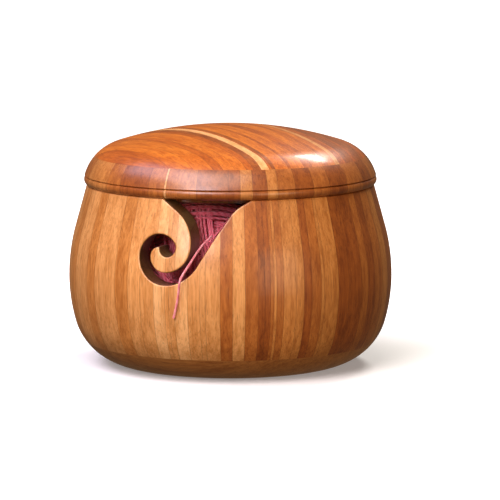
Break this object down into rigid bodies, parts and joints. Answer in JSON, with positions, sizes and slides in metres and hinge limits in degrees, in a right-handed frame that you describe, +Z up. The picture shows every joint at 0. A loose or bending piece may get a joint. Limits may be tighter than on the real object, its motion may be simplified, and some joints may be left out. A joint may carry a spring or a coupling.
{
  "type": "yarn bowl",
  "caption": "Turned wooden yarn bowl with a lift-off domed lid, a curled slot cut down from the rim that guides the strand, and a ball of yarn inside.",
  "frame": {"origin": "centre of the foot's flat underside, on the surface that the bowl stands on", "axes": "+Z up along the turning axis, -Y towards the yarn slot, +X to the right of someone who looks at the slot"},
  "size_m": [0.155, 0.1583, 0.115],
  "materials": {
    "wall_wood": "lacquered, glued strips of light and dark wood, upright grain",
    "base_wood": "lacquered, level grain",
    "lid_wood": "lacquered, glued strips of reddish wood",
    "yarn": "soft plied cotton, rose pink"
  },
  "bodies": {
    "bowl": {"base_disc": "base_wood", "yarn_strand": "yarn", "wall_stave_01": "wall_wood", "wall_stave_02": "wall_wood", "wall_stave_03": "wall_wood", "wall_stave_04": "wall_wood", "wall_stave_05": "wall_wood", "wall_stave_06": "wall_wood", "wall_stave_07": "wall_wood", "wall_stave_08": "wall_wood", "wall_stave_09": "wall_wood", "wall_stave_10": "wall_wood", "wall_stave_11": "wall_wood", "wall_stave_12": "wall_wood", "wall_stave_13": "wall_wood", "wall_stave_14": "wall_wood", "wall_stave_15": "wall_wood", "wall_stave_16": "wall_wood", "wall_stave_17": "wall_wood", "wall_stave_18": "wall_wood", "wall_stave_19": "wall_wood", "wall_stave_20": "wall_wood", "wall_stave_21": "wall_wood", "wall_stave_22": "wall_wood", "wall_stave_23": "wall_wood", "wall_stave_24": "wall_wood", "wall_stave_25": "wall_wood", "wall_stave_26": "wall_wood", "wall_stave_27": "wall_wood", "wall_stave_28": "wall_wood", "wall_stave_29": "wall_wood", "wall_stave_30": "wall_wood", "wall_stave_31": "wall_wood", "wall_stave_32": "wall_wood", "leaf_stave_left": "wall_wood", "leaf_stave_right": "wall_wood", "hook_stave": "wall_wood"},
    "lid": {"lid_ring_segment_01": "lid_wood", "lid_ring_segment_02": "lid_wood", "lid_ring_segment_03": "lid_wood", "lid_ring_segment_04": "lid_wood", "lid_ring_segment_05": "lid_wood", "lid_ring_segment_06": "lid_wood", "lid_ring_segment_07": "lid_wood", "lid_ring_segment_08": "lid_wood", "lid_ring_segment_09": "lid_wood", "lid_ring_segment_10": "lid_wood", "lid_ring_segment_11": "lid_wood", "lid_ring_segment_12": "lid_wood", "lid_dome_strip_1": "lid_wood", "lid_dome_strip_2": "lid_wood", "lid_dome_strip_3": "lid_wood", "lid_dome_strip_4": "lid_wood", "lid_dome_strip_5": "lid_wood", "lid_dome_strip_6": "lid_wood", "lid_dome_strip_7": "lid_wood", "lid_dome_strip_8": "lid_wood", "lid_dome_strip_9": "lid_wood"},
    "yarn_ball": {"yarn_ball": "yarn"}
  },
  "joints": [
    {"name": "lid_lift", "type": "slide", "parent": "bowl", "child": "lid", "axis": [0, 0, 1], "range_m": [0, 0.08]},
    {"name": "ball_turn", "type": "hinge", "parent": "bowl", "child": "yarn_ball", "pos_m": [0, -0.0175, 0.0533], "axis": [0, 0, 1], "continuous": true}
  ]
}
